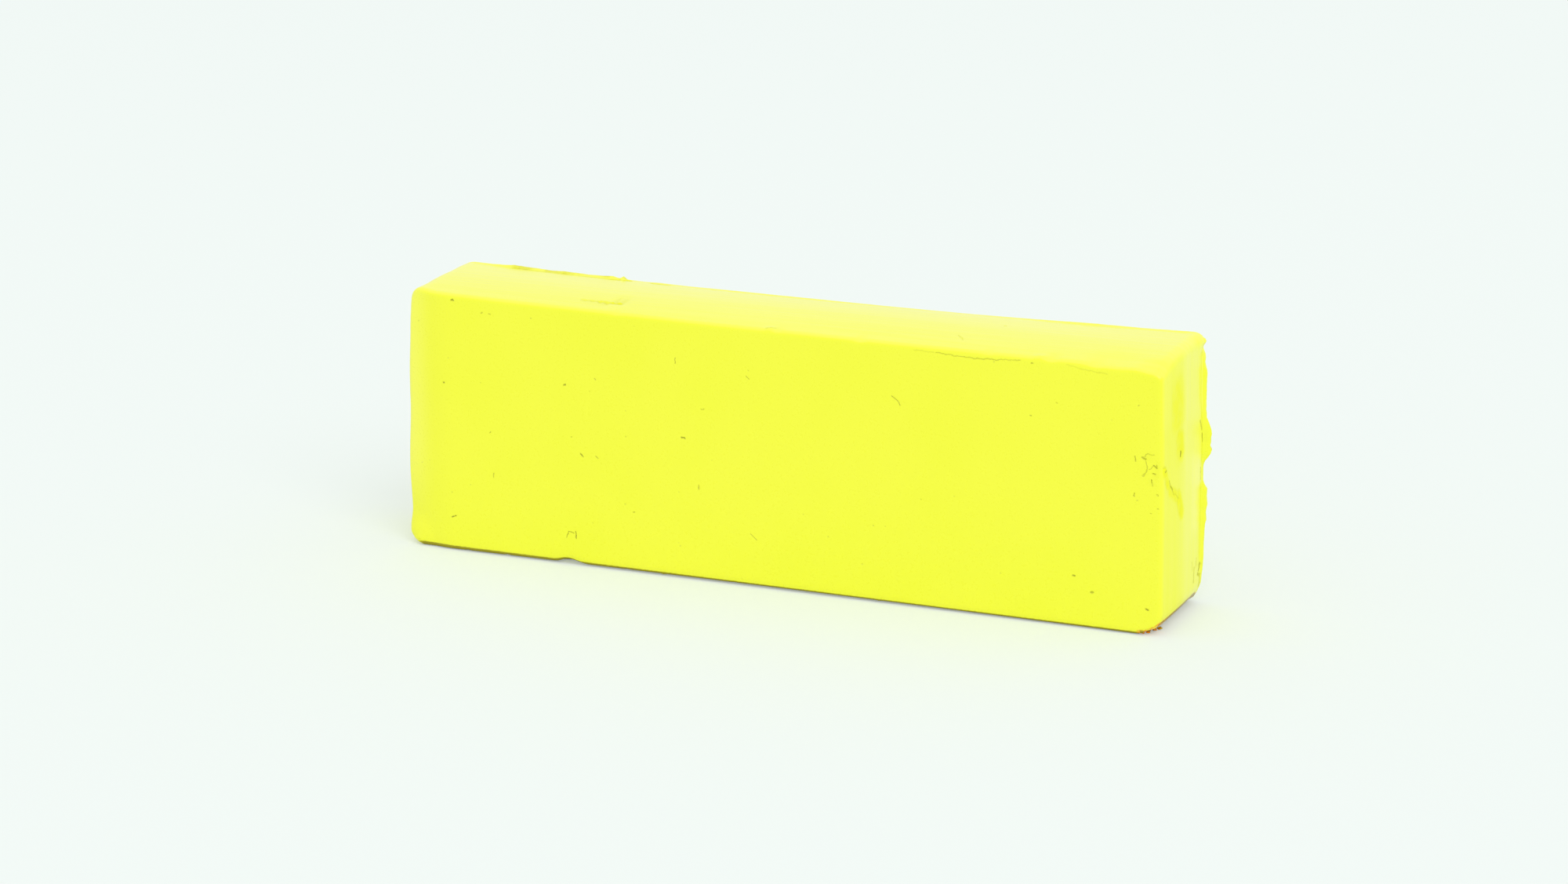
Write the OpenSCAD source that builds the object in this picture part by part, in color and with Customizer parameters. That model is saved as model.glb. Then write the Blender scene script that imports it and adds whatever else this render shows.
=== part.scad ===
// Solid oil paint stick: a plain bar of paint, cast in one piece and standing on a long side.
// X runs along the length, -Y is the broad front face and Z is up. The origin is the centre
// of the foot. The mould parted at the back, so the bar widens that way and carries its
// flash there. All lengths are in millimetres.

/* [Bar] */
// Length along the foot, end to end
bar_l = 100.3; // [60:0.1:140]
// Height along the crest of the top
bar_h = 33.7; // [20:0.1:60]
// Thickness from the front face to the back
bar_d = 15.8; // [9:0.1:30]
// Angle by which the top and the ends spread towards the back
draft = 0.35; // [0:0.05:3]
// How far each end leans inwards from the foot up to the top
end_lean = 0.65; // [0:0.05:2]
// How much lower the front edge of the top lies at the right end than at the left
top_twist = 0.4; // [0:0.05:2]

/* [Corners, seen from the front] */
// Radius of the upper left corner
r_top_left = 2.1; // [1:0.1:6]
// Radius of the upper right corner
r_top_right = 1.4; // [1:0.1:6]
// Radius of the lower left corner, which is knocked
r_foot_left = 2.6; // [1:0.1:6]
// Radius of the lower right corner
r_foot_right = 2.9; // [1:0.1:6]

/* [Edges round the front face] */
// Radius of the edge round the front face
edge_r = 0.6; // [0.2:0.05:0.9]
// Radius of that edge along the top, which is softer
top_edge_r = 1.15; // [0.5:0.05:1.6]
// How much that radius grows towards the right end, where the edge is worn
top_wear = 0.6; // [0.05:0.05:1]
// Length of the worn stretch, from the right end
top_wear_l = 13; // [4:0.5:40]
// Width of the soft roll beside the left end, at its top
roll_top_w = 5; // [1:0.1:5.5]
// Width of the soft roll beside the left end, at its foot
roll_foot_w = 3.2; // [1:0.1:5.5]
// How far back the soft roll falls at the left end
roll_d = 1.2; // [0.6:0.05:3]

/* [Shrinkage] */
// How far the sides stand proud along the middle of the thickness
crown = 0.18; // [0:0.01:0.6]
// How much further the front long edges draw in at mid length
sink_front = 0.25; // [0:0.05:0.8]
// How much further the back long edges draw in at mid length
sink_back = 0.5; // [0:0.05:0.8]
// Width of the flat land that the bar stands on
land_w = 6; // [2:0.5:7]

/* [Moulding flash] */
// Thickness of the flash at the back
flash_t = 0.4; // [0.2:0.05:1]
// Reach of the witness line where the flash is torn away
witness = 0.05; // [0.02:0.01:0.2]
// Reach of the ragged flash along the left part of the top
top_flash = 0.33; // [0.05:0.01:1]
// Length of that ragged flash, from the left end
top_flash_l = 24; // [4:0.5:50]
// Reach of the thin lip along the right part of the top
lip_flash = 0.14; // [0.05:0.01:1]
// Length of that thin lip, from the right end
lip_flash_l = 23; // [4:0.5:50]
// Reach of the bent lobe on the right end
lobe_reach = 1.05; // [0.1:0.05:2]
// Height of the middle of that lobe
lobe_z = 20.9; // [8:0.1:28]
// Height of the lobe from its lower tear to its upper slope
lobe_h = 6; // [3:0.1:10]
// Reach of the ragged strip below the lobe
strip_reach = 0.55; // [0.05:0.05:1.5]
// Top of that ragged strip
strip_top = 15.3; // [8:0.1:20]
// Foot of that ragged strip
strip_foot = 9.5; // [5:0.1:14]
// Reach of the flash above the lobe
upper_flash = 0.42; // [0.05:0.01:1]
// Reach of the rest of the flash on the ends
end_flash = 0.2; // [0.05:0.05:1]

/* [Dents and cuts] */
// Depth of the chip in the front face beside the right end
chip_d = 0.2; // [0.1:0.05:0.6]
// Distance of that chip from the right end
chip_in = 2.2; // [1.5:0.1:6]
// Height of that chip above the foot
chip_z = 21; // [6:0.1:28]
// Radius of the ball shape of that chip
chip_r = 3; // [2:0.5:8]
// Depth of the dent in the front foot edge
foot_dent_d = 0.3; // [0.1:0.05:1]
// Place of that dent, from the middle of the length
foot_dent_x = -27.6; // [-29:0.1:29]
// Radius of the ball shape of that dent
foot_dent_r = 5; // [2:0.5:8]
// Length of the crease pressed into the top
crease_l = 5.2; // [2:0.1:10]
// Widest half width of that crease, at its right end
crease_w = 0.22; // [0.1:0.02:0.5]
// Place of the right end of the crease, from the middle of the length
crease_x = -22; // [-24:0.1:24]
// Distance of the crease behind the front face
crease_y = 3.8; // [1.5:0.1:7]

/* [Hidden] */
paint = [0.96, 0.99, 0.29];

half_l = bar_l / 2;
half_d = bar_d / 2;

corner_steps = 6;                 // facets round each corner
end_steps = 36;                   // facets along each end
long_steps = 64;                  // facets along each long side
edge_steps = 5;                   // facets across the rounded front edge
wall_steps = 6;                   // bands across the thickness
flash_root = 0.25;                // width of the slope from the wall up to the flash
roll_fade = 12;                   // length over which the soft roll runs out
thread_w = 0.05;                  // half width of the thin end of the crease

// Sides are counted from the right end: 0 right end, 1 top, 2 left end, 3 foot.
// Corner c comes just before side c.
side_steps = [end_steps, long_steps, end_steps, long_steps];
corner_r = [r_foot_right, r_top_right, r_top_left, r_foot_left];

function mix(a, b, t) = a + (b - a) * t;
function clamp(t) = max(0, min(1, t));
function smooth(t) = clamp(t) * clamp(t) * (3 - 2 * clamp(t));

// A station is one place on the outline at mid thickness: [x, z, normal x, normal z].
function corner_station(c, a) =
    let (turn = 90 * (c - 1) + 90 * a / corner_steps,
         r = corner_r[c],
         cx = (c < 2 ? 1 : -1) * (half_l - r),
         cz = (c == 1 || c == 2) ? bar_h - r : r)
    [cx + r * cos(turn), cz + r * sin(turn), cos(turn), sin(turn)];

function side_station(c, i) =
    let (a = corner_station(c, corner_steps),
         b = corner_station((c + 1) % 4, 0),
         t = i / side_steps[c])
    [mix(a[0], b[0], t), mix(a[1], b[1], t), cos(90 * c), sin(90 * c)];

stations = [
    for (c = [0:3]) each concat(
        [for (a = [0:corner_steps]) corner_station(c, a)],
        [for (i = [1:side_steps[c] - 1]) side_station(c, i)])
];
count = len(stations);

// Share of the mid-length draw-in at x: all of it in the middle, none at the ends.
function bow(x) = clamp(1 - pow(x / half_l, 2));

// How far a wall lies below its crest, v being the place across the thickness from -1 to 1.
function fall(x, v) = (crown + (v < 0 ? sink_front : sink_back) * bow(x)) * v * v;

// The same for the foot, which has a flat land instead of a crest.
function foot_fall(x, v) =
    let (land = land_w / bar_d, out = max(0, abs(v) - land) / (1 - land))
    (crown + (v < 0 ? sink_front : sink_back) * bow(x)) * out * out;

// How far the top lies lower at x through its twist, which grows from the back to the front.
function twist(x, v) = top_twist * x / bar_l * (1 - v) / 2;

// The wall of the bar at station s and depth y, with out added along the station's normal.
function wall(s, y, out) =
    let (v = y / half_d,
         top = max(0, s[3]), foot = max(0, -s[3]),
         up = s[1] / bar_h,
         spread = tan(draft) * y,
         x = s[0] * (1 - end_lean * pow(up, 1.5) / half_l)
             + s[2] * (spread - crown / 2 * v * v + out),
         z = s[1] + 2 * spread * up
             - top * (fall(s[0], v) + twist(s[0], v))
             + foot * foot_fall(s[0], v) + s[3] * out)
    [x, y, z];

// Soft roll beside the left end: its share, its width and its depth at station s.
function roll_share(s) = pow(clamp(1 - (s[0] + half_l) / roll_fade), 2);
function roll_w(s) = mix(roll_foot_w, roll_top_w, s[1] / bar_h) * roll_share(s);

// Radius of the edge round the front face at station s.
function front_r(s) =
    mix(edge_r, top_edge_r + top_wear * smooth((s[0] - half_l + top_wear_l) / (top_wear_l * 0.6)),
        max(0, s[3]));
function edge_depth(s) = mix(front_r(s), roll_d, roll_share(s));

// Ring across the rounded front edge: 0 is the rim of the flat front face, 1 is the wall.
function edge_ring(t) = [
    for (s = stations)
        let (in = 1 - sin(90 * t),
             y = -half_d + edge_depth(s) * (1 - cos(90 * t)),
             p = wall(s, y, 0))
        [p[0] + in * (roll_w(s) - edge_r * max(0, s[2])), y, p[2] - in * front_r(s) * s[3]]
];

// Ring on the wall between the front edge and the root of the flash.
function wall_ring(t) = [
    for (s = stations)
        wall(s, mix(-half_d + edge_depth(s), half_d - flash_t - flash_root, t), 0)
];

// Even ripple of a torn edge, between 0 and 1, at distance d along it.
function ragged(d) = 0.5 + 0.3 * sin(113 * d) + 0.2 * sin(271 * d + 40);

// Reach of the flash on each side.
function top_reach(x) =
    let (from_left = x + half_l, from_right = half_l - x)
    from_left < top_flash_l
        ? top_flash * smooth((from_left - 1.5) / 5.5) * (0.8 + 0.4 * ragged(x))
    : from_right < lip_flash_l ? lip_flash * smooth((lip_flash_l - from_right) / 3) * (0.8 + 0.4 * ragged(x))
    : 0.06 * ragged(x);

function right_reach(z) =
    let (above = z - lobe_z + lobe_h / 2)
    above > 0 && above < lobe_h
        ? mix(above < lobe_h / 2 ? 0 : upper_flash, lobe_reach,
              smooth(above / 1.1) * smooth((lobe_h - above) / 2.4))
    : z > lobe_z ? upper_flash * mix(0.4, 1, smooth((bar_h - 3.7 - z) / 0.6))
                   * smooth((bar_h - 1.5 - z) / 0.8)
    : z > strip_top ? 0
    : z > strip_foot ? strip_reach * (0.8 + 0.4 * ragged(z))
    : end_flash * smooth((z - r_foot_right) / 2);

function left_reach(z) = end_flash * (0.5 + ragged(z)) * smooth(z / 4) * smooth((bar_h - z) / 2);

function reach(s) = witness + (
    s[2] > 0.99 ? right_reach(s[1])
    : s[2] < -0.99 ? left_reach(s[1])
    : s[3] > 0 ? top_reach(s[0])
    : 0);

// Ring on the flash at depth y, with a share of its full reach.
function flash_ring(y, share) = [for (s = stations) wall(s, y, reach(s) * share)];

rings = concat(
    [for (i = [0:edge_steps]) edge_ring(i / edge_steps)],
    [for (i = [1:wall_steps]) wall_ring(i / wall_steps)],
    [flash_ring(half_d - flash_t, 0.9),
     flash_ring(half_d - flash_t / 2, 1),
     flash_ring(half_d, 0.9)]);

// Closed skin through the rings, with each flat end face as a fan round its middle.
module loft(rings) {
    n = len(rings[0]);
    last = len(rings) - 1;
    front_mid = n * len(rings);
    back_mid = front_mid + 1;
    polyhedron(
        points = concat(
            [for (ring = rings) each ring],
            [[0, rings[0][0][1], bar_h / 2], [0, rings[last][0][1], bar_h / 2]]),
        faces = concat(
            [for (i = [0:n - 1]) [front_mid, (i + 1) % n, i]],
            [for (i = [0:n - 1]) [back_mid, last * n + i, last * n + (i + 1) % n]],
            [for (k = [0:last - 1], i = [0:n - 1])
                let (a = k * n + i, b = k * n + (i + 1) % n)
                each [[a, b, b + n], [a, b + n, a + n]]]));
}

// Shallow chip in the front face beside the right end.
module chip() {
    translate([half_l - chip_in, chip_d - half_d - chip_r, chip_z])
        sphere(r = chip_r, $fn = 64);
}

// Ball-shaped dent in the front edge of the foot.
module foot_dent() {
    lift = crown + sink_front * bow(foot_dent_x);
    diagonal = (foot_dent_r - foot_dent_d) / sqrt(2);
    translate([foot_dent_x, -half_d + edge_r * (1 - sqrt(0.5)) - diagonal,
               lift + edge_r * (1 - sqrt(0.5)) - diagonal])
        sphere(r = foot_dent_r, $fn = 64);
}

// Tapered crease pressed into the top.
module crease() {
    y = -half_d + crease_y;
    v = y / half_d;
    surface = bar_h + 2 * tan(draft) * y - fall(crease_x, v) - twist(crease_x, v);
    translate([crease_x - crease_l, y, surface])
        rotate([0, 90, 0])
            cylinder(h = crease_l, r1 = thread_w, r2 = crease_w, $fn = 32);
}

module paint_stick() {
    color(paint)
        difference() {
            loft(rings);
            chip();
            foot_dent();
            crease();
        }
}

paint_stick();
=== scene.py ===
import math

import bmesh
import bpy
from mathutils import Euler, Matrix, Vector


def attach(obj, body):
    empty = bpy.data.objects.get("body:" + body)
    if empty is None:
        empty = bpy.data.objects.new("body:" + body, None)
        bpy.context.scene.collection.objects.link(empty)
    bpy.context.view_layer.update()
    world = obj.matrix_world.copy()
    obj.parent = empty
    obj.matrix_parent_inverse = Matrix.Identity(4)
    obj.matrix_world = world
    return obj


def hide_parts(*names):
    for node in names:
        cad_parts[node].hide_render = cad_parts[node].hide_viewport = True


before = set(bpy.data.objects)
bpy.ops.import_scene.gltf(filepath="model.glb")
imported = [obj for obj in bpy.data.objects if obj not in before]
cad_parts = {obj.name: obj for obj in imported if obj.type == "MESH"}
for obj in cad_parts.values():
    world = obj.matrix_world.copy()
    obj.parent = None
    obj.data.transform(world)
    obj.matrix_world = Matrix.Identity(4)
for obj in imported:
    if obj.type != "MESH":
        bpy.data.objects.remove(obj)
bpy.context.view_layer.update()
bpy.ops.object.select_all(action="DESELECT")
mm = 0.001


# Shader maths: a wire is a socket that adds, subtracts and multiplies like a number.
class Wire:
    def __init__(self, bench, socket):
        self.bench, self.socket = bench, socket

    def math(self, operation, *values):
        settings = {"operation": operation}
        return self.bench.add("ShaderNodeMath", settings, dict(enumerate(values)))["Value"]

    def __add__(self, other): return self.math("ADD", self, other)
    def __radd__(self, other): return self.math("ADD", other, self)
    def __sub__(self, other): return self.math("SUBTRACT", self, other)
    def __rsub__(self, other): return self.math("SUBTRACT", other, self)
    def __mul__(self, other): return self.math("MULTIPLY", self, other)
    def __rmul__(self, other): return self.math("MULTIPLY", other, self)
    def __abs__(self): return self.math("ABSOLUTE", self)
    def atLeast(self, other): return self.math("MAXIMUM", self, other)
    def root(self): return self.math("SQRT", self)

    # 0 before start, 1 past full, and a smooth ramp between, also with full below start
    def ramp(self, start, full):
        return self.bench.add("ShaderNodeMapRange", {"interpolation_type": "SMOOTHSTEP"},
                              {"Value": self, "From Min": start, "From Max": full})["Result"]


class Outputs:
    def __init__(self, bench, node):
        self.bench, self.node = bench, node

    def __getitem__(self, name):
        return Wire(self.bench, self.node.outputs[name])


class Bench:
    def __init__(self, holder):
        holder.use_nodes = True
        self.tree = holder.node_tree
        self.tree.nodes.clear()

    # the one way to add a node: its type, its settings, then its sockets' values or links
    def add(self, kind, settings=None, sockets=None):
        node = self.tree.nodes.new(kind)
        for name, value in (settings or {}).items():
            setattr(node, name, value)
        for name, value in (sockets or {}).items():
            if isinstance(value, Wire):
                self.tree.links.new(value.socket, node.inputs[name])
            else:
                node.inputs[name].default_value = value
        return Outputs(self, node)

    # a Mix node's colours are its inputs 6 and 7 and its output 2
    def blend(self, share, under, over):
        return self.add("ShaderNodeMix", {"data_type": "RGBA"}, {0: share, 6: under, 7: over})[2]


def rgb(red, green, blue):
    return (red, green, blue, 1)


# The wax: colours are linear, lengths in millimetres, and shares run from 0 to 1.
wax = {
    "lemon": rgb(0.908, 0.936, 0.033),
    "shade": rgb(0.885, 0.930, 0.022),
    "shadeShare": 0.5,
    # a paler colour beside the left end: painted sheen
    "rubbed": rgb(0.990, 0.995, 0.135),
    "rubbedShare": 0.6,
    # the pale colour on the top and the right end is painted sheen, a painted reflection, stronger
    # towards the back of the top
    "bloom": rgb(0.965, 0.972, 0.138),
    "bloomOnTop": 0.42,
    "bloomToBack": 0.15,
    "bloomInDrag": 0.2,
    "bloomInBands": 0.22,
    "bloomInPaleBand": 0.2,
    "bloomInWhiteBand": 0.5,
    "whiteFrontShare": 0.4,
    # a darker, saturated colour: painted shade in folds and nicks
    "deep": rgb(0.890, 0.900, 0.008),
    "deepShare": 0.9,
    "speck": rgb(0.520, 0.540, 0.030),
    "speckShare": 0.3,
    "speckSpacing": 1.5,
    "speckSize": 0.10,
    "speckEdge": (-0.03, 0.04),
    # an olive colour on the flash: painted shade along it, with dirt spots
    "stain": rgb(0.640, 0.620, 0.012),
    "stainShare": 0.5,
    # the dark of pits, chips and cracks is painted shade in their hollows
    "pit": rgb(0.330, 0.310, 0.005),
    "pitShare": 0.75,
    # olive-brown: painted shade along the front foot, and grime with painted shade at the right
    # end's foot
    "grime": rgb(0.300, 0.250, 0.003),
    "footShare": 0.95,
    # grime with painted shade along the right end's foot
    "endGrimeShare": 0.75,
    "orange": rgb(0.900, 0.330, 0.015),
    # a warmer yellow on the faces turned down: painted shade under the bar
    "underside": rgb(0.930, 0.880, 0.012),
    # how far noise shifts the marks, and the soft folds
    "warp": 0.5,
    "wave": 1.4,
    # where a mark starts and is full, as shares of its half width
    "markEdge": (1.5, 0.4),
    # least strength of a fold, where noise breaks it
    "foldLeast": 0.6,
    # the painted shade line along the foot: its height, how much it grows to the left, how uneven
    # and how soft it is, and the arch in it
    "footHeight": 0.5,
    "footSlope": 0.002,
    "footUneven": 0.2,
    "footSoft": (-0.08, 0.08),
    "archPlace": -27.6,
    "archReach": (1.9, 0.3),
    "archRise": 0.28,
    # the same for the grime and painted shade on the rounded foot of the right end
    "rolledHeight": 1.9,
    "rolledUneven": 0.3,
    "rolledSoft": (0, 0.3),
    # depths of the relief
    "grainDepth": 0.003,
    "dragDepth": 0.04,
    "bandDepth": 0.08,
    "foldDepth": 0.12,
    "nickDepth": 0.15,
    "speckDepth": 0.04,
    "pitDepth": 0.10,
    # roughness of clean wax, and what grain, marks and rubbing add to it
    "roughness": 0.28,
    "grainRough": 0.06,
    "markRough": 0.6,
    "dullRough": 0.55,
    "dullShare": 0.42,
    "dullReach": (1.6, -3.2),
    "ior": 1.5,
}

# Noise in the wax: scale per millimetre, detail, roughness, and stretch along each axis
patterns = {
    "warp": (2.2, 3.0, 0.5, (1, 1, 1)),
    "wave": (0.35, 2.0, 0.5, (1, 1, 1)),
    "foldBreaks": (0.7, 2.0, 0.5, (1, 1, 1)),
    "drag": (1.0, 3.0, 0.5, (0.05, 1.6, 0.4)),
    "bands": (1.0, 2.0, 0.5, (0.1, 0.55, 0.03)),
    "soil": (0.5, 2.0, 0.5, (1, 1, 1)),
    "broad": (0.08, 2.0, 0.5, (1, 1, 1)),
    "blotches": (1.4, 3.0, 0.5, (1, 1, 1)),
    "grain": (1 / 0.35, 4.0, 0.6, (1, 1, 1)),
}

# Where a noise starts to show in what it makes, and where it shows in full
cuts = {
    "shade": (0.35, 0.7),
    "bands": (0.35, 0.7),
    "drag": (0.4, 0.7),
    "soil": (0.4, 0.6),
    "folds": (0.35, 0.6),
    "specks": (0.35, 1.0),
    "orange": (0.3, 0.5),
    "caked": (0.5, 0.6),
}

# Which way each side faces: axis of its normal, where its mask starts, where it is full
sides = {
    "top": ("Z", 0.35, 0.8),
    "end": ("X", 0.6, 0.9),
    "front": ("Y", -0.6, -0.9),
    # faces turned down, where painted shade lies
    "under": ("Z", -0.25, -0.7),
    "rolledUnder": ("Z", -0.32, -0.44),
}

# Where each tint or group of marks lies: axis, where it starts, where it is full
patches = {
    "frontSkin": [("Y", -6.8, -7.2)],
    "endSkin": [("X", 48.9, 49.2)],
    "topSkin": [("Z", 32.4, 32.9)],
    # the painted sheen on the top grows towards the back
    "toBack": [("Y", -7, 6)],
    # painted sheen beside the left end
    "rubbed": [("X", -45.8, -49.6), ("Z", 2.0, 14.0)],
    # painted shade and dirt on the flash at the back of the top
    "soiled": [("Z", 33.3, 33.5), ("Y", 6.9, 7.3), ("X", -43.5, -41.5), ("X", -19.5, -26.5)],
    # where painted sheen and painted highlights lie on the right end
    "paleBand": [("Y", -2.0, 2.0), ("Y", 7.6, 6.9), ("Z", 5.0, 11.0)],
    "whiteBand": [("Y", 2.2, 4.4), ("Y", 7.0, 6.2), ("Z", 8.5, 11.0), ("Z", 24.0, 17.0)],
    "whiteFin": [("Y", 6.8, 7.3), ("Z", 23.5, 25.5)],
    "whiteFront": [("Y", -4.5, -6.0), ("Z", 24.0, 27.0)],
    # where painted shade lies along the front foot
    "footEdge": [("Y", -6.6, -7.2), ("X", -49.0, -47.8)],
    # where the orange dirt, grime and painted shade lie at the right end's foot
    "endFoot": [("Z", 0.8, 0.45)],
    "rightEnd": [("X", 46.7, 47.5)],
    "behindFront": [("Y", -5.8, -4.6)],
}

# Pits and scratches: place along, place up, half length, half width, tilt in degrees, strength.
frontMarks = [
    (-43.1, 32.5, 0.08, 0.13, 0, 1.0), (-39.0, 31.2, 0.10, 0.08, 20, 0.5),
    (-38.0, 31.2, 0.08, 0.07, 0, 0.5), (-32.3, 31.2, 0.05, 0.07, 0, 0.4),
    (-44.5, 21.8, 0.05, 0.09, 0, 0.9), (-27.7, 23.1, 0.10, 0.09, 30, 0.9),
    (-23.6, 24.3, 0.16, 0.05, -50, 0.5), (-12.8, 27.7, 0.35, 0.04, 88, 0.6),
    (-11.8, 18.1, 0.18, 0.09, -4, 1.0), (-9.2, 22.0, 0.18, 0.05, 14, 0.5),
    (-3.2, 26.5, 0.20, 0.05, -40, 0.5), (-38.1, 16.0, 0.10, 0.05, 30, 0.6),
    (-25.5, 14.4, 0.16, 0.08, -40, 0.9), (-23.5, 14.4, 0.16, 0.05, -40, 0.6),
    (-26.9, 16.6, 0.05, 0.06, 0, 0.5), (-37.6, 10.4, 0.30, 0.04, 86, 0.5),
    (-9.7, 12.0, 0.25, 0.04, 86, 0.6), (-43.4, 4.4, 0.14, 0.08, 12, 1.0),
    (-43.0, 4.5, 0.06, 0.09, 0, 1.0), (-18.4, 7.8, 0.06, 0.08, 0, 0.7),
    (-27.5, 3.9, 0.45, 0.04, 75, 0.8), (-27.0, 4.25, 0.35, 0.04, -12, 0.8),
    (-26.35, 3.95, 0.45, 0.05, -84, 0.9), (-2.4, 6.5, 0.55, 0.04, -40, 0.5),
    (15.9, 25.9, 0.50, 0.05, -35, 0.6), (16.5, 25.3, 0.22, 0.05, -60, 0.6),
    (39.0, 6.4, 0.12, 0.09, -10, 0.9), (41.3, 4.6, 0.08, 0.14, 0, 0.8),
    (48.2, 3.3, 0.16, 0.10, -30, 1.0), (46.5, 28.1, 0.05, 0.07, 0, 0.5),
    (36.3, 27.5, 0.06, 0.05, 0, 0.4), (33.1, 25.6, 0.05, 0.06, 0, 0.5),
    (-48.9, 4.9, 0.50, 0.05, 88, 0.7),
    # chips and short cracks beside the right end
    (46.2, 21.7, 0.30, 0.05, -82, 0.6), (47.5, 22.2, 0.42, 0.05, 38, 0.4),
    (48.2, 22.4, 0.31, 0.05, 0, 0.35), (47.3, 21.8, 0.15, 0.10, -16, 0.7),
    (47.6, 21.2, 0.32, 0.05, -66, 0.4), (47.7, 20.6, 0.27, 0.05, -96, 0.4),
    (47.4, 20.0, 0.39, 0.06, -119, 0.45), (48.7, 20.9, 0.20, 0.07, -44, 0.8),
    (48.8, 21.0, 0.14, 0.05, -99, 0.6), (48.2, 20.8, 0.33, 0.04, 36, 0.4),
    (48.6, 20.0, 0.10, 0.10, -20, 0.7), (48.3, 19.1, 0.18, 0.08, -84, 0.7),
    (48.4, 18.7, 0.17, 0.05, -76, 0.4), (46.2, 17.3, 0.20, 0.05, -97, 0.6),
    (46.6, 16.6, 0.05, 0.07, 0, 0.4), (49.1, 17.5, 0.05, 0.07, 0, 0.4),
    (49.2, 15.8, 0.05, 0.06, 0, 0.4), (48.3, 15.2, 0.05, 0.06, 0, 0.4),
    # lip left along the top edge
    (19.5, 32.1, 1.30, 0.04, -1, 0.2), (22.5, 32.0, 1.50, 0.05, -4, 0.4),
    (24.9, 31.9, 0.78, 0.05, -1, 0.4), (27.4, 31.9, 1.77, 0.06, 2, 0.45),
    (30.5, 32.1, 1.20, 0.05, 4, 0.35), (33.1, 32.0, 0.06, 0.10, 0, 0.6),
    (38.2, 32.1, 0.88, 0.05, -10, 0.15), (40.0, 31.8, 0.99, 0.05, -6, 0.2),
    (41.8, 31.6, 0.70, 0.06, -7, 0.2),
]
# the same in the top, along and back
topMarks = [
    (-41.5, 7.2, 0.3, 0.18, -3, 0.6), (-38.5, 7.1, 1.90, 0.12, -3, 0.5),
    (-35.5, 7.0, 0.75, 0.14, 8, 0.5), (-34.2, 7.1, 0.74, 0.16, -8, 0.6),
    (-32.0, 7.0, 0.72, 0.12, -4, 0.5), (-30.6, 7.0, 0.68, 0.18, 3, 0.6),
    (-29.3, 6.9, 0.67, 0.12, -6, 0.6), (-27.6, 7.0, 0.45, 0.32, 6, 0.9),
    (-25.9, 7.2, 0.25, 0.30, -9, 0.8), (-21.3, 7.1, 1.24, 0.18, -2, 0.8),
    (-25.4, -4.8, 1.30, 0.18, 2, 0.4), (-23.2, -4.8, 1.00, 0.30, -2, 0.6),
    (-22.0, -4.75, 0.45, 0.38, 3, 0.9), (22.6, -3.9, 0.30, 0.10, -44, 0.4),
    (23.2, -4.6, 0.40, 0.10, -60, 0.3), (26.3, 2.0, 0.08, 0.12, 0, 0.5),
    (-13.9, 6.8, 0.2, 0.12, 0, 0.4), (-0.4, -7.3, 0.5, 0.10, 20, 0.5),
]
# and in the right end, back and up
endMarks = [
    (-1.4, 21.0, 0.20, 0.20, -100, 1.0), (-6.9, 20.2, 0.20, 0.10, 20, 0.7),
    (-5.4, 18.3, 0.50, 0.07, -62, 0.6), (-4.7, 17.6, 0.35, 0.12, -39, 0.7),
    (-4.2, 17.0, 0.50, 0.07, -50, 0.4), (7.0, 21.0, 0.45, 0.14, -80, 0.9),
    (7.0, 16.4, 0.80, 0.08, 90, 0.5), (7.2, 3.0, 0.80, 0.12, 88, 0.7),
    (-2.8, 16.2, 0.9, 0.05, -35, 0.3), (6.6, 22.6, 0.60, 0.15, -70, 0.6),
    (6.9, 4.7, 0.35, 0.28, 60, 0.8), (6.5, 3.9, 0.25, 0.20, -30, 0.7),
    (4.7, 4.3, 0.90, 0.18, 85, 0.4), (3.9, 5.6, 0.50, 0.12, 95, 0.25),
    (5.6, 5.6, 0.50, 0.14, 80, 0.3),
]
# saturated folds and streaks in the right end, also back and up; their darker colour is painted
# shade
endFolds = [
    (-6.7, 19.3, 1.1, 0.55, -60, 0.9), (-4.3, 16.9, 1.4, 0.65, -27, 0.75),
    (-1.5, 14.7, 1.1, 0.90, -60, 0.95), (-2.4, 27.2, 1.3, 2.10, 86, 0.6),
    (-1.6, 22.2, 0.6, 1.30, 95, 0.85), (-2.2, 25.4, 4.5, 1.30, 88, 0.2),
]


# The skin of the bar: where a point lies in millimetres, which way it faces, and masks on it
class Skin:
    def __init__(self, bench):
        self.bench = bench
        place = bench.add("ShaderNodeTexCoord")["Object"]
        self.place = bench.add("ShaderNodeVectorMath", {"operation": "SCALE"},
                               {0: place, "Scale": 1 / mm})["Vector"]
        self.at = bench.add("ShaderNodeSeparateXYZ", None, {0: self.place})
        normal = bench.add("ShaderNodeNewGeometry")["Normal"]
        self.facing = bench.add("ShaderNodeSeparateXYZ", None, {0: normal})
        self.top, self.end, self.front = self.side("top"), self.side("end"), self.side("front")

    def noise(self, name):
        scale, detail, rough, stretch = patterns[name]
        where = self.bench.add("ShaderNodeMapping", None,
                               {"Vector": self.place, "Scale": stretch})["Vector"]
        sockets = {"Vector": where, "Scale": scale, "Detail": detail, "Roughness": rough}
        return self.bench.add("ShaderNodeTexNoise", None, sockets)["Fac"]

    def side(self, name):
        axis, start, full = sides[name]
        return self.facing[axis].ramp(start, full)

    def patch(self, name):
        inside = None
        for axis, start, full in patches[name]:
            one = self.at[axis].ramp(start, full)
            inside = one if inside is None else inside * one
        return inside


def markAt(along, across, edge, x, z, halfLength, halfWidth, tilt):
    c, s = math.cos(math.radians(tilt)), math.sin(math.radians(tilt))
    along, across = along - x, across - z
    run = (abs(along * c + across * s) - halfLength).atLeast(0)
    off = across * c - along * s
    start, full = edge
    return (run * run + off * off).root().ramp(halfWidth * start, halfWidth * full)


def scatter(marks, along, up, edge, inside):
    deepest = None
    for (*where, strength) in marks:
        one = markAt(along, up, edge, *where) * strength
        deepest = one if deepest is None else deepest.atLeast(one)
    return deepest * inside


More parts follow.
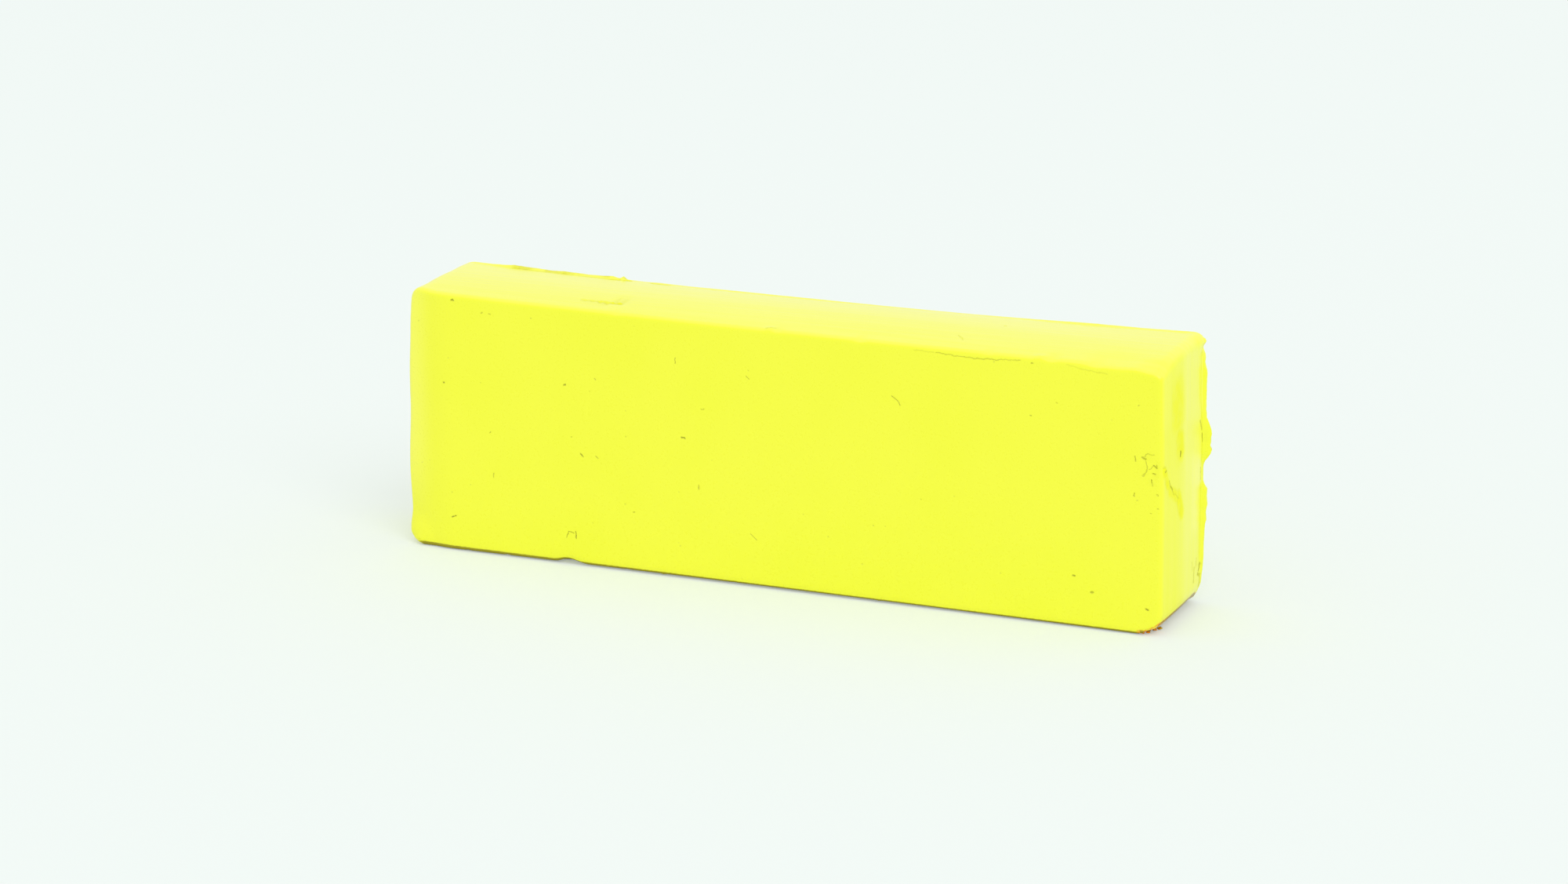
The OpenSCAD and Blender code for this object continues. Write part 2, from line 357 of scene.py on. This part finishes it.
# Every mark in the wax, as a mask, with the noises that colour and relief share
def waxMarks(skin, look):
    x, y, z = skin.at["X"], skin.at["Y"], skin.at["Z"]
    on = {name: skin.noise(name) for name in ("drag", "bands", "grain")}

    # marks are warped a little, so that none has a drawn outline
    warp = (skin.noise("warp") - 0.5) * look["warp"]
    wave = (skin.noise("wave") - 0.5) * look["wave"] + warp
    edge = look["markEdge"]
    onFront = scatter(frontMarks, x + warp, z - warp, edge, skin.patch("frontSkin"))
    onEnd = scatter(endMarks, y + warp, z - warp, edge, skin.patch("endSkin"))
    on["pits"] = onFront.atLeast(onEnd)
    on["nicks"] = scatter(topMarks, x + warp, y, edge, skin.patch("topSkin"))
    least = look["foldLeast"]
    breaks = least + skin.noise("foldBreaks").ramp(*cuts["folds"]) * (1 - least)
    on["folds"] = scatter(endFolds, y + wave, z - wave, edge, skin.end) * breaks
    # where the end is rubbed dull
    on["dull"] = (y + wave).ramp(*look["dullReach"]) * look["dullShare"] * skin.end

    # fine specks, kept to some of the cells of a cell pattern
    spacing = look["speckSpacing"]
    cells = skin.bench.add("ShaderNodeTexVoronoi", {"feature": "F1"},
                           {"Vector": skin.place, "Scale": 1 / spacing, "Randomness": 1.0})
    chosen = skin.bench.add("ShaderNodeSeparateColor", None, {0: cells["Color"]})
    size = chosen["Red"].ramp(*cuts["specks"]) * look["speckSize"]
    on["specks"] = (size - cells["Distance"] * spacing).ramp(*look["speckEdge"]) * skin.front

    # painted shade along the front foot edge, wider towards the left and raised at the arch
    arch = abs(x - look["archPlace"]).ramp(*look["archReach"]) * look["archRise"]
    lineTop = look["footHeight"] + arch - x * look["footSlope"]
    aboveFoot = z - warp * look["footUneven"]
    on["footLine"] = (lineTop - aboveFoot).ramp(*look["footSoft"]) * skin.patch("footEdge")
    # where the right end meets the ground: orange dirt, and grime with painted shade
    aboveFoot = z - warp * look["rolledUneven"]
    rolled = (look["rolledHeight"] - aboveFoot).ramp(*look["rolledSoft"])
    low = skin.patch("endFoot").atLeast(rolled * skin.side("rolledUnder"))
    on["endFoot"] = low * skin.patch("rightEnd")
    return on


# Clean wax: its own shades, a pale painted sheen on the top, the end and the left roll, and what
# the marks change, with painted shade in folds, nicks and under the bar
def waxColour(skin, look, on):
    blend, patch = skin.bench.blend, skin.patch
    shade = skin.noise("broad").ramp(*cuts["shade"]) * look["shadeShare"]
    colour = blend(shade, look["lemon"], look["shade"])
    # painted sheen beside the left end
    colour = blend(patch("rubbed") * look["rubbedShare"], colour, look["rubbed"])
    # painted sheen and painted highlights on the right end
    white = patch("whiteBand") + patch("whiteFin") + patch("whiteFront") * look["whiteFrontShare"]
    endPaintedSheen = (on["bands"].ramp(*cuts["bands"]) * look["bloomInBands"]
                + patch("paleBand") * look["bloomInPaleBand"] + white * look["bloomInWhiteBand"])
    colour = blend(skin.end * endPaintedSheen, colour, look["bloom"])
    # painted sheen on the top, paler towards the back
    topPaintedSheen = (on["drag"].ramp(*cuts["drag"]) * look["bloomInDrag"]
                + patch("toBack") * look["bloomToBack"] + look["bloomOnTop"])
    colour = blend(skin.top * topPaintedSheen, colour, look["bloom"])
    # painted shade in folds and nicks
    colour = blend(on["folds"].atLeast(on["nicks"]) * look["deepShare"], colour, look["deep"])
    # painted shade on the faces turned down
    return blend(skin.side("under"), colour, look["underside"])


# Dirt and painted shade on the wax: specks, the flash stained and darkened with painted shade,
# pits darkened with painted shade, and painted shade with grime along the foot
def soil(skin, look, on, colour):
    blend, patch = skin.bench.blend, skin.patch
    colour = blend(on["specks"] * look["speckShare"], colour, look["speck"])
    # the flash darkened in blotches: painted shade with dirt
    soiled = patch("soiled") * skin.noise("soil").ramp(*cuts["soil"])
    colour = blend(soiled * look["stainShare"], colour, look["stain"])
    # pits, chips and cracks darkened: painted shade
    colour = blend(on["pits"] * look["pitShare"], colour, look["pit"])
    # painted shade along the front foot
    colour = blend(on["footLine"] * look["footShare"], colour, look["grime"])
    # an orange smear under the right end, and grime with painted shade over it
    blotches = skin.noise("blotches")
    colour = blend(on["endFoot"] * blotches.ramp(*cuts["orange"]), colour, look["orange"])
    # grime with painted shade under the right end
    caked = patch("behindFront") * look["endGrimeShare"]
    caked = caked.atLeast(blotches.ramp(*cuts["caked"]))
    return blend(on["endFoot"] * caked, colour, look["grime"])


def waxRelief(skin, look, on):
    raised = (on["grain"] * skin.front * look["grainDepth"]
              + on["drag"] * skin.top * look["dragDepth"]
              + on["bands"] * skin.end * look["bandDepth"])
    sunk = (on["folds"] * look["foldDepth"] + on["nicks"] * look["nickDepth"]
            + on["specks"] * look["speckDepth"] + on["pits"] * look["pitDepth"])
    return raised - sunk


def waxRoughness(skin, look, on):
    marked = on["pits"] + on["folds"] + on["nicks"] + on["footLine"]
    return (look["roughness"] + (on["grain"] - 0.5) * skin.front * look["grainRough"]
            + marked * look["markRough"] + on["dull"] * look["dullRough"])


def waxMaterial(look):
    material = bpy.data.materials.new("lemonWax")
    bench = Bench(material)
    skin = Skin(bench)
    on = waxMarks(skin, look)
    colour = soil(skin, look, on, waxColour(skin, look, on))
    bump = bench.add("ShaderNodeBump", None, {"Strength": 1.0, "Distance": mm,
                                              "Height": waxRelief(skin, look, on)})
    shader = bench.add("ShaderNodeBsdfPrincipled", None,
                       {"Base Color": colour, "Roughness": waxRoughness(skin, look, on),
                        "IOR": look["ior"], "Normal": bump["Normal"]})
    bench.add("ShaderNodeOutputMaterial", None, {"Surface": shader["BSDF"]})
    print("wax mixed:", len(bench.tree.nodes), "shader nodes")
    return material


# The bar, in millimetres
bar = {
    "length": 100.3, "height": 33.7, "depth": 15.8,
    # corner radii seen from the front: left or right, foot or top
    "corners": {(-1, 1): 2.1, (1, 1): 1.4, (-1, 0): 2.0, (1, 0): 2.9},
    "cornerSegments": 8,
    "edgeRadius": 0.6,
    "edgeSegments": 5,
    # the front edge of the foot hangs a little: how far, and which of its points
    "lipDrop": 0.07,
    "lipHeight": 0.55,
    "lipDepth": (0.06, 0.58),
    "lipFromEnds": 2,
    # spacing of the mesh along and up, and its slices from front to back
    "grid": 1.0,
    "slices": [-7.0, -6.4, -5.4, -4.0, -2.4, -0.8, 0.8, 2.4, 4.0, 5.2, 6.0, 6.6,
               7.0, 7.12, 7.3, 7.4, 7.5, 7.62, 7.76],
    # what the mould and the shrinkage do
    "cage": (11, 7, 6),
    "draft": 0.35,
    "endLean": 0.65,
    "leanPower": 1.5,
    "twist": 0.4,
    "crown": 0.18,
    "sinkFront": 0.25,
    "sinkBack": 0.5,
    "land": 6.0,
    "frontFall": 0.38,
    "fallToRight": 0.2,
    "fallPower": 1.4,
    "frontFoot": 0.65,
    # soft roll of the front beside the left end
    "roll": 1.4,
    "rollWidth": 6.5,
    "rollStart": (0.75, 0.61),
    "smoothAngle": 50,
}

# The flash: depth of the rim that it grows from, least reach, longest reach, and its tears
flash = {
    "rim": 0.9,
    "leastTop": 0.02,
    "leastEnd": 0.04,
    "longest": 1.25,
    "tearSize": 0.7,
    "tearReach": 0.6,
}
# Reach of the flash beyond the wall: place along the edge, reach
topFlash = [
    (-50, 0), (-48.2, 0.02), (-46.6, 0.06), (-44.9, 0.1), (-43.2, 0.2), (-41.6, 0.3),
    (-39.9, 0.24), (-38.2, 0.2), (-36.6, 0.14), (-34.9, 0.24), (-33.3, 0.2), (-31.7, 0.16),
    (-30, 0.2), (-28.4, 0.26), (-27, 0.12), (-25.5, 0.02), (-23.5, 0.0), (-21.9, 0.07),
    (-18, 0.02), (-12, 0.07), (0, 0.07), (8, 0.03), (20, 0.0), (28, 0.06), (31, 0.1), (35, 0.16),
    (38.5, 0.13), (43, 0.07), (47.5, 0.1), (49, 0.02), (50, 0),
]
rightFlash = [
    (0, 0), (3.4, 0.03), (4.3, 0.18), (6, 0.25), (9.5, 0.33), (10.3, 0.44), (10.7, 0.72),
    (11.1, 0.51), (11.8, 0.49), (12.3, 0.66), (12.7, 0.72), (13.4, 0.55), (14.2, 0.69),
    (14.6, 0.61), (15, 0.19), (15.4, 0.06), (17.3, 0.06), (17.7, 0.18), (18.1, 0.49), (18.6, 0.86),
    (19, 1.12), (19.4, 1.14), (19.9, 1.05), (20.6, 1.14), (21.3, 1.15), (21.7, 1.07), (22.5, 0.79),
    (23.2, 0.53), (24, 0.4), (26.3, 0.46), (29.4, 0.52), (29.8, 0.32), (30.2, 0.25), (31.0, 0.38),
    (31.4, 0.16), (31.8, 0.12), (32.3, 0.16), (32.7, 0.2), (33.1, 0.05), (33.7, 0),
]
leftFlash = [(0, 0), (4, 0.15), (12, 0.25), (22, 0.2), (30, 0.25), (32, 0), (33.7, 0)]
lobeRoot = [(0, 0), (17.6, 0), (18.8, 1.1), (21.6, 1.1), (24, 0.4), (26, 0), (34, 0)]
# share of the flash's reach at depth y: a slow flare up the wall, then the torn fin
finShare = [(-9, 0), (7.12, 0), (7.3, 0.03), (7.4, 0.25), (7.5, 0.7), (7.62, 1), (8, 0.9)]
# the same for the thick root of the lobe
rootShare = [(-9, 0), (4.8, 0), (6.9, 0.18), (7.3, 0.1), (7.4, 0), (9, 0)]

# Dents and nicks: place, pull, reach of the pull, all in millimetres
dents = [
    # the left end stands out towards its middle, and the top corners are fuller
    ((-50.1, -6.0, 23), (-0.48, 0, 0), 13.0), ((-50.1, -6.0, 11), (-0.40, 0, 0), 8.0),
    ((-49.9, -6.3, 30.0), (-0.14, 0, 0), 4.5), ((-49.6, 7.2, 32.9), (-0.28, 0, 0.10), 5.0),
    ((-49.2, -7.2, 33.0), (-0.05, 0, 0.30), 3.0), ((49.4, 7.3, 33.2), (0.32, 0, 0.16), 2.2),
    # the lower right corner is fuller at the back and lifted at the front
    ((49.2, 7.2, 0.7), (0.22, 0, -0.14), 1.5), ((48.2, -7.3, 0.6), (0, 0, 0.20), 1.5),
    # the front of the top is worn down beside the right end
    ((43.6, -7.5, 32.7), (0, 0, -0.28), 5.5), ((48.4, -7.5, 32.7), (0, 0, -0.50), 3.0),
    # arch knocked into the front foot edge, and smaller nicks along it
    ((-27.7, -7.7, 0.4), (0, 0.05, 0.52), 1.9), ((-26.2, -7.7, 0.4), (0, 0.02, 0.16), 1.2),
    ((-36.1, -7.7, 0.3), (0, 0, 0.10), 0.6), ((-41.5, -7.7, 0.3), (0, 0, 0.08), 0.6),
    ((-22.1, -7.7, 0.5), (0, 0, -0.12), 0.4), ((-19.3, -7.7, 0.5), (0, 0, 0.08), 0.6),
    ((-14.5, -7.7, 0.5), (0, 0, -0.12), 0.5), ((-5.1, -7.7, 0.6), (0, 0, 0.09), 0.7),
    ((3.8, -7.7, 0.6), (0, 0, 0.08), 0.6), ((14.0, -7.7, 0.5), (0, 0, -0.08), 0.6),
    # chips beside the right end
    ((48.9, -7.9, 20.9), (0, 0.16, 0), 0.7), ((48.6, -7.9, 19.9), (0, 0.16, 0), 0.6),
    ((48.2, -7.9, 19.0), (0, 0.15, 0), 0.6), ((47.6, -7.9, 21.8), (0, 0.14, 0), 0.6),
    ((47.9, -7.9, 20.6), (0, -0.10, 0), 0.7), ((47.9, -7.9, 22.6), (0, -0.08, 0), 0.6),
    # front edge of the top: a raised burr, then nicks towards the right
    ((-0.4, -7.6, 33.0), (0, -0.06, 0.16), 0.7), ((0.5, -7.5, 33.0), (0, 0.05, -0.14), 0.6),
    ((11.3, -7.7, 33.0), (0, 0.06, -0.16), 1.0), ((27.5, -7.7, 33.0), (0, 0.05, -0.10), 0.8),
    ((33.9, -7.7, 33.0), (0, -0.05, 0.14), 1.0), ((35.4, -7.7, 33.0), (0, 0.08, -0.16), 1.2),
    ((41.0, -7.7, 32.9), (0, 0.06, -0.14), 1.4), ((-20.5, -7.7, 33.2), (0, 0.04, -0.08), 1.0),
    # notch in the flash at the top right
    ((49.8, 7.6, 31.9), (-0.40, 0, 0), 0.8),
    # crease in the top
    ((-26.2, -4.9, 33.4), (0, 0, -0.10), 0.5), ((-25.2, -4.85, 33.4), (0, 0, -0.12), 0.5),
    ((-24.2, -4.8, 33.4), (0, 0, -0.14), 0.55), ((-23.2, -4.7, 33.4), (0, 0, -0.20), 0.6),
    ((-22.2, -4.65, 33.4), (0, 0, -0.26), 0.65), ((-21.5, -4.6, 33.4), (0, 0, -0.22), 0.6),
    # crumb on the flash at the back
    ((-26.6, 7.7, 33.4), (0.05, 0, 0.34), 0.45), ((-28.2, 7.7, 33.6), (0, 0, 0.10), 0.4),
    # knocked corner at the lower left, where the roll of the end dies out
    ((-49.3, -7.0, 1.0), (0, -0.70, 0), 3.5), ((-50.1, -5.5, 2.2), (-0.16, 0, 0), 3.0),
    ((-49.3, -7.5, 1.3), (0.05, 0.10, 0.04), 0.9), ((-48.4, -7.6, 0.9), (0, -0.08, 0.06), 0.6),
    ((-47.6, -7.6, 0.7), (0, 0.10, 0.06), 0.7), ((-49.9, -7.0, 2.2), (0.05, 0.03, 0), 0.8),
]

# Crumbs of other colours under the lower right corner: place, radius, flatness
crumbs = [
    ((47.5, -7.2, 0.16), 0.20, 0.5), ((48.1, -6.9, 0.20), 0.24, 0.5),
    ((47.9, -6.2, 0.18), 0.22, 0.5), ((48.5, -5.6, 0.22), 0.26, 0.55),
    ((48.9, -4.9, 0.22), 0.3, 0.45),
]
# how much longer than wide a crumb is, how uneven, and the seed of the first
crumbShape = {"stretch": 1.2, "uneven": 0.35, "seed": 3}


def pickEdges(piece, test):
    body = bmesh.from_edit_mesh(piece.data)
    bpy.ops.mesh.select_mode(type="EDGE")
    bpy.ops.mesh.select_all(action="DESELECT")
    for edge in body.edges:
        if all(test(v.co / mm) for v in edge.verts):
            edge.select_set(True)
    bmesh.update_edit_mesh(piece.data)


def pickVerts(piece, test):
    body = bmesh.from_edit_mesh(piece.data)
    bpy.ops.mesh.select_mode(type="VERT")
    bpy.ops.mesh.select_all(action="DESELECT")
    for v in body.verts:
        if test(v.co / mm):
            v.select_set(True)
    bmesh.update_edit_mesh(piece.data)


def cutAcross(axis, places):
    normal = [0, 0, 0]
    normal[axis] = 1
    for place in places:
        point = [0, 0, 0]
        point[axis] = place * mm
        bpy.ops.mesh.select_all(action="SELECT")
        bpy.ops.mesh.bisect(plane_co=point, plane_no=normal, threshold=0.005 * mm)


def grab(piece, place, pull, reach):
    body = bmesh.from_edit_mesh(piece.data)
    target = Vector(place) * mm
    nearest = min(body.verts, key=lambda v: (v.co - target).length_squared)
    bpy.ops.mesh.select_all(action="DESELECT")
    nearest.select_set(True)
    bmesh.update_edit_mesh(piece.data)
    bpy.ops.transform.translate(value=Vector(pull) * mm, use_proportional_edit=True,
                                proportional_edit_falloff="SMOOTH",
                                proportional_size=reach * mm)


def steps(low, high, gap):
    count = round((high - low) / gap)
    return [low + (high - low) * i / count for i in range(1, count)]


def castBlock(sizes):
    halfLength, halfDepth, height = sizes["length"] / 2, sizes["depth"] / 2, sizes["height"]
    near = 0.01  # points closer than this lie on the same edge
    bpy.ops.mesh.primitive_cube_add(size=mm, location=(0, 0, height / 2 * mm),
                                    scale=(sizes["length"], sizes["depth"], height))
    piece = bpy.context.object
    piece.name = piece.data.name = "paintStick"
    bpy.ops.object.transform_apply(location=True, rotation=True, scale=True)
    bpy.ops.object.mode_set(mode="EDIT")
    for (side, level), radius in sizes["corners"].items():
        cornerX, cornerZ = side * halfLength, level * height
        pickEdges(piece, lambda p: abs(p.x - cornerX) < near and abs(p.z - cornerZ) < near)
        bpy.ops.mesh.bevel(offset=radius * mm, segments=sizes["cornerSegments"], profile=0.5,
                           affect="EDGES")
    pickEdges(piece, lambda p: p.y < near - halfDepth)
    bpy.ops.mesh.bevel(offset=sizes["edgeRadius"] * mm, segments=sizes["edgeSegments"],
                       profile=0.5, affect="EDGES")
    lipStart, lipEnd = sizes["lipDepth"]
    pickVerts(piece, lambda p: (p.z < sizes["lipHeight"] and lipStart < p.y + halfDepth < lipEnd
                                and abs(p.x) < halfLength - sizes["lipFromEnds"]))
    bpy.ops.transform.translate(value=(0, -sizes["lipDrop"] * mm, -sizes["lipDrop"] * mm))
    cutAcross(0, steps(-halfLength, halfLength, sizes["grid"]))
    cutAcross(2, steps(0, height, sizes["grid"]))
    bpy.ops.mesh.select_all(action="SELECT")
    bpy.ops.mesh.subdivide(number_cuts=1)
    cutAcross(1, sizes["slices"])
    bpy.ops.object.mode_set(mode="OBJECT")
    print("block cast:", len(piece.data.vertices), "points")
    return piece


def easeIntoMould(piece, sizes):
    size = Vector((sizes["length"], sizes["depth"], sizes["height"])) * mm
    bpy.ops.object.add(type="LATTICE", location=(0, 0, size.z / 2))
    cage = bpy.context.object
    cage.scale = size
    net = cage.data
    net.points_u, net.points_v, net.points_w = sizes["cage"]
    for direction in "uvw":
        setattr(net, "interpolation_type_" + direction, "KEY_CATMULL_ROM")
    spread = math.tan(math.radians(sizes["draft"]))
    land = sizes["land"] / sizes["depth"]
    for point in net.points:
        along, across, up = point.co.x * 2, point.co.y * 2, point.co.z + 0.5
        y = point.co.y * sizes["depth"]
        bow = 1 - along ** 2
        sink = sizes["crown"] + (sizes["sinkFront"] if across < 0 else sizes["sinkBack"]) * bow
        out = max(0, abs(across) - land) / (1 - land)
        shiftX = (along * (spread * y - sizes["crown"] / 2 * across ** 2)
                  - along * sizes["endLean"] * up ** sizes["leanPower"])
        frontFall = (sizes["frontFall"] * (1 + along * sizes["fallToRight"])
                     * max(0, -across) ** sizes["fallPower"])
        fall = sink * across ** 2 + frontFall
        twist = sizes["twist"] * along / 2 * (1 - across) / 2
        shiftZ = (up * (2 * spread * y - fall - twist)
                  + (1 - up) * sink * (sizes["frontFoot"] if across < 0 else 1) * out ** 2)
        shift = Vector((shiftX / sizes["length"], 0, shiftZ / sizes["height"]))
        point.co_deform = point.co + shift
    bpy.context.view_layer.objects.active = piece
    shape = piece.modifiers.new("mould", "LATTICE")
    shape.object = cage
    bpy.ops.object.modifier_apply(modifier=shape.name)
    bpy.data.objects.remove(cage)
    # the front rolls back softly towards the left end
    piece.select_set(True)
    bpy.ops.object.mode_set(mode="EDIT")
    fromEnd, fromFront = sizes["rollStart"]
    pickVerts(piece, lambda p: (p.x < fromEnd - sizes["length"] / 2
                                and p.y < fromFront - sizes["depth"] / 2))
    bpy.ops.transform.translate(value=(0, sizes["roll"] * mm, 0), use_proportional_edit=True,
                                proportional_edit_falloff="SHARP",
                                proportional_size=sizes["rollWidth"] * mm)
    bpy.ops.object.mode_set(mode="OBJECT")
    print("eased into the mould")


def between(table, place):
    for (a, low), (b, high) in zip(table, table[1:]):
        if a <= place <= b:
            return low + (high - low) * (place - a) / (b - a)
    return 0


# points of the flat back that lie inside its rim
def insideBack(piece):
    rim = set()
    for face in piece.data.polygons:
        if face.normal.y < 0.5:
            rim.update(face.vertices)
    return {v.index for v in piece.data.vertices} - rim


def squeezeFlash(piece, sizes, look):
    top = sizes["height"] - look["rim"]
    end = sizes["length"] / 2 - look["rim"]
    leastTop, leastEnd, longest = look["leastTop"], look["leastEnd"], look["longest"]
    edges = {
        "topFlash": ("Z", 1, finShare,
                     lambda p: between(topFlash, p.x) + leastTop if p.z > top else 0),
        "rightFlash": ("X", 1, finShare,
                       lambda p: between(rightFlash, p.z) + leastEnd if p.x > end else 0),
        "leftFlash": ("X", -1, finShare,
                      lambda p: between(leftFlash, p.z) + leastEnd if p.x < -end else 0),
        "lobeRoot": ("X", 1, rootShare, lambda p: between(lobeRoot, p.z) if p.x > end else 0),
    }
    inner = insideBack(piece)
    for name, (direction, sign, shares, reach) in edges.items():
        group = piece.vertex_groups.new(name=name)
        for v in piece.data.vertices:
            share = between(shares, v.co.y / mm)
            weight = share * reach(v.co / mm) if share and v.index not in inner else 0
            if weight > 0:
                group.add([v.index], min(1, weight / longest), "REPLACE")
        fin = piece.modifiers.new(name, "DISPLACE")
        fin.direction, fin.vertex_group = direction, name
        fin.strength, fin.mid_level = sign * longest * mm, 0
        bpy.ops.object.modifier_apply(modifier=fin.name)
        torn = bpy.data.textures.new(name + "Torn", "CLOUDS")
        torn.noise_scale, torn.noise_depth = look["tearSize"] * mm, 2
        rip = piece.modifiers.new(name + "Torn", "DISPLACE")
        rip.texture, rip.texture_coords = torn, "LOCAL"
        rip.direction, rip.vertex_group = direction, name
        rip.strength, rip.mid_level = sign * look["tearReach"] * mm, 0.5
        bpy.ops.object.modifier_apply(modifier=rip.name)
    print("flash squeezed out")


def knockAbout(piece, knocks):
    bpy.ops.object.mode_set(mode="EDIT")
    bpy.ops.mesh.select_mode(type="VERT")
    for place, pull, reach in knocks:
        grab(piece, place, pull, reach)
    bpy.ops.object.mode_set(mode="OBJECT")
    print("dents and nicks:", len(knocks))


def addCrumbs(piece, bits, look):
    bpy.ops.object.select_all(action="DESELECT")
    grown = []
    for number, (place, radius, flat) in enumerate(bits):
        bpy.ops.mesh.primitive_ico_sphere_add(subdivisions=2, radius=radius * mm,
                                              location=Vector(place) * mm,
                                              scale=(look["stretch"], 1, flat))
        crumb = bpy.context.object
        bpy.ops.object.transform_apply(location=True, rotation=True, scale=True)
        bpy.ops.object.mode_set(mode="EDIT")
        bpy.ops.mesh.select_all(action="SELECT")
        bpy.ops.transform.vertex_random(offset=radius * look["uneven"] * mm,
                                        seed=number + look["seed"])
        bpy.ops.object.mode_set(mode="OBJECT")
        grown.append(crumb)
    for crumb in grown:
        crumb.select_set(True)
    piece.select_set(True)
    bpy.context.view_layer.objects.active = piece
    bpy.ops.object.join()
    print("crumbs:", len(grown))


stick = castBlock(bar)
easeIntoMould(stick, bar)
squeezeFlash(stick, bar, flash)
knockAbout(stick, dents)
addCrumbs(stick, crumbs, crumbShape)
bpy.ops.object.shade_smooth_by_angle(angle=math.radians(bar["smoothAngle"]))
stick.data.materials.append(waxMaterial(wax))
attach(stick, "root")
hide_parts("paint_stick")

# The table and the soft light around it, in metres
studio = {
    "paper": rgb(0.880, 0.938, 0.918),
    "glow": rgb(0.883, 0.948, 0.912),
    "glowShare": 0.35,
    "floorSize": 8.0,
    "skyStrength": 0.825,
    "horizon": rgb(0.970, 0.980, 0.976),
    "lampPlace": (3.13, -3.76, 5.01),
    "lampSize": 5.0,
    "lampPower": 158,
}


def setFloor(look):
    bpy.ops.mesh.primitive_plane_add(size=look["floorSize"], location=(0, 0, 0))
    floor = bpy.context.object
    floor.name = "tableTop"
    paper = bpy.data.materials.new("palePaper")
    bench = Bench(paper)
    sheet = bench.add("ShaderNodeBsdfPrincipled", None,
                      {"Base Color": look["paper"], "Roughness": 1.0, "Specular IOR Level": 0.0})
    glow = bench.add("ShaderNodeEmission", None, {"Color": look["glow"], "Strength": 1.0})
    share = bench.add("ShaderNodeLightPath")["Is Camera Ray"] * look["glowShare"]
    both = bench.add("ShaderNodeMixShader", None,
                     {0: share, 1: sheet["BSDF"], 2: glow["Emission"]})
    bench.add("ShaderNodeOutputMaterial", None, {"Surface": both["Shader"]})
    floor.data.materials.append(paper)


def setLight(look):
    sky = bpy.data.worlds.new("softSky")
    bpy.context.scene.world = sky
    bench = Bench(sky)
    path = bench.add("ShaderNodeLightPath")
    seen = path["Is Camera Ray"].atLeast(path["Is Glossy Ray"])
    seen = seen.atLeast(path["Is Transmission Ray"])
    light = bench.add("ShaderNodeBackground", None,
                      {"Color": rgb(1, 1, 1), "Strength": look["skyStrength"]})
    back = bench.add("ShaderNodeBackground", None, {"Color": look["horizon"], "Strength": 1.0})
    both = bench.add("ShaderNodeMixShader", None,
                     {0: seen, 1: light["Background"], 2: back["Background"]})
    bench.add("ShaderNodeOutputWorld", None, {"Surface": both["Shader"]})
    bpy.ops.object.light_add(type="AREA", location=look["lampPlace"])
    lamp = bpy.context.object
    lamp.name = "softBox"
    lamp.rotation_euler = (-Vector(look["lampPlace"])).to_track_quat("-Z", "Y").to_euler()
    lamp.data.shape, lamp.data.size = "SQUARE", look["lampSize"]
    lamp.data.energy = look["lampPower"]
    print("stage set")


# The camera: place and lens in millimetres, angles in degrees, clipping in metres
view = {
    "place": (191.231, -477.277, 156.385),
    "turn": 21.999,
    "tilt": 15.188,
    "roll": 0.294,
    "lens": 99.0,
    "sensor": 36,
    "clip": (0.01, 50),
}


def setCamera(look):
    bpy.ops.object.camera_add(location=Vector(look["place"]) * mm)
    camera = bpy.context.object
    turn, tilt, roll = (math.radians(look[name]) for name in ("turn", "tilt", "roll"))
    aim = (Euler((0, 0, turn)).to_matrix() @ Euler((math.pi / 2 - tilt, 0, 0)).to_matrix()
           @ Euler((0, 0, roll)).to_matrix())
    camera.rotation_euler = aim.to_euler()
    camera.data.sensor_width = look["sensor"]
    camera.data.lens = look["lens"]
    camera.data.clip_start, camera.data.clip_end = look["clip"]
    bpy.context.scene.camera = camera
    bpy.context.scene.view_settings.view_transform = "Standard"
    print("camera set")


setFloor(studio)
setLight(studio)
setCamera(view)
